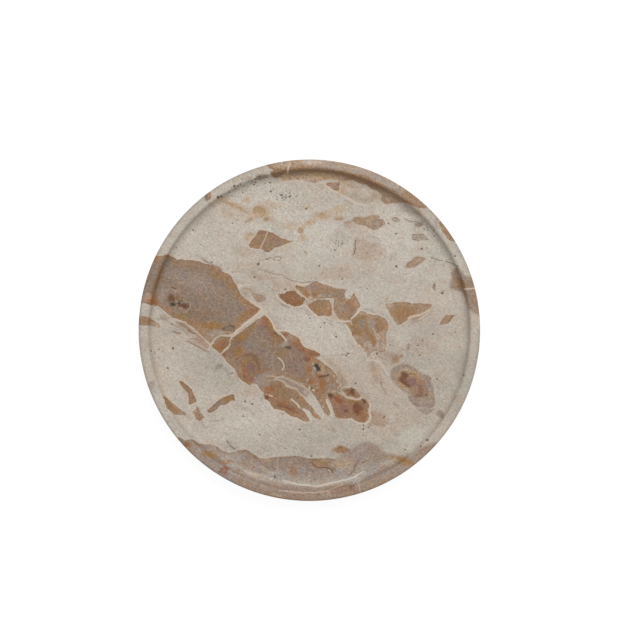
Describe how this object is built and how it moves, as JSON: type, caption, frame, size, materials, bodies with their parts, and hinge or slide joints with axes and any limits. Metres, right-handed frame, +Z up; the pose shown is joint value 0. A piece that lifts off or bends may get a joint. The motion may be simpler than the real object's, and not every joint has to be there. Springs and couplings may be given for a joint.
{
  "type": "marble tray",
  "caption": "Round turned stone tray with a flat serving floor, a cove running up to a raised rim with eased edges, and felt feet taped to its underside.",
  "frame": {"origin": "on the turning axis of the tray, on the surface that its feet stand on", "axes": "+Z up along the turning axis, +Y towards the back edge (the top of the picture), +X to the right"},
  "size_m": [0.3, 0.3, 0.0239],
  "materials": {
    "marble": "honed",
    "felt": "needled wool felt",
    "foam_tape": "matte foam"
  },
  "bodies": {
    "root": {"stone_tray_body": "marble", "felt_pad_back_right": "felt", "felt_pad_back_left": "felt", "felt_pad_front_left": "felt", "felt_pad_front_right": "felt", "tape_disc_back_right": "foam_tape", "tape_disc_back_left": "foam_tape", "tape_disc_front_left": "foam_tape", "tape_disc_front_right": "foam_tape"}
  },
  "joints": []
}
